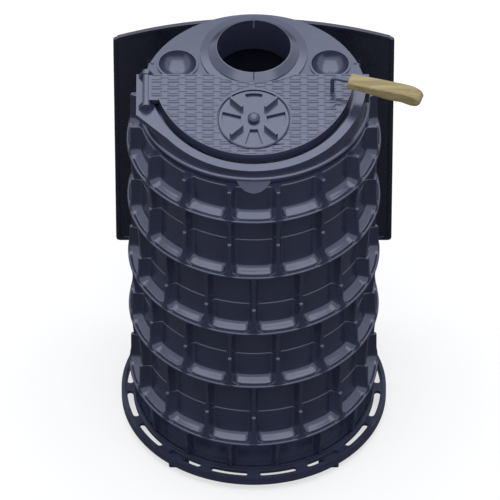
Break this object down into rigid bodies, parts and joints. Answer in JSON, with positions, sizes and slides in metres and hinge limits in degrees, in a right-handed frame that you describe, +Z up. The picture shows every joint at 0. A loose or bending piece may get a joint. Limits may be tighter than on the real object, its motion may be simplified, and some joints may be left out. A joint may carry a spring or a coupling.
{
  "type": "sauna stove",
  "caption": "Round top-loading wood-fired stove of ribbed ring castings on a slotted base, with a flue collar, scent bowls, a sloping hatch with air dial and wooden handle, and a rear shield.",
  "frame": {"origin": "on the body's axis at the height of the feet's undersides, at the middle of the four screw holes in the feet", "axes": "+Z up, -Y to the front where the hatch slopes down, +X to the side of the handle"},
  "size_m": [0.5945, 0.5295, 0.8883],
  "materials": {
    "painted_casting": "gloss paint",
    "raw_casting": "rough, heat-darkened",
    "painted_steel": "satin paint",
    "steel": "plain",
    "grip_wood": "oiled",
    "rope_seal": "woven"
  },
  "bodies": {
    "stove": {"base_ring": "painted_casting", "floor_plate": "raw_casting", "body_ring_1": "painted_casting", "body_ring_2": "painted_casting", "body_ring_3": "painted_casting", "body_ring_4": "painted_casting", "body_ring_5": "painted_casting", "seam_seals": "rope_seal", "grate": "raw_casting", "baffle": "raw_casting", "hood": "painted_casting", "collar_left": "painted_casting", "collar_right": "painted_casting", "bowl_left": "painted_casting", "bowl_right": "painted_casting", "bowl_screws": "steel", "deck_screws": "steel", "hatch_frame": "painted_casting", "hinge_pin": "steel", "heat_shield": "painted_steel", "shield_strap_upper": "painted_steel", "shield_strap_lower": "painted_steel", "shield_bolts": "steel", "strap_bolts": "steel"},
    "lid": {"lid": "painted_casting", "lid_seal": "rope_seal", "lid_liner": "raw_casting", "liner_screws": "steel", "dial_stud": "steel", "dial_nut": "painted_steel", "dial_washer": "steel", "handle_rod": "painted_steel", "handle_grip": "grip_wood"},
    "air_dial": {"air_dial": "painted_casting"}
  },
  "joints": [
    {"name": "lid_hinge", "type": "hinge", "parent": "stove", "child": "lid", "pos_m": [-0.204, -0.03454, 0.84467], "axis": [0, -0.9806, -0.1959], "range_deg": [0, 105]},
    {"name": "air_dial_turn", "type": "hinge", "parent": "lid", "child": "air_dial", "pos_m": [0, -0.10826, 0.83341], "axis": [0, -0.1959, 0.9806], "continuous": true}
  ]
}
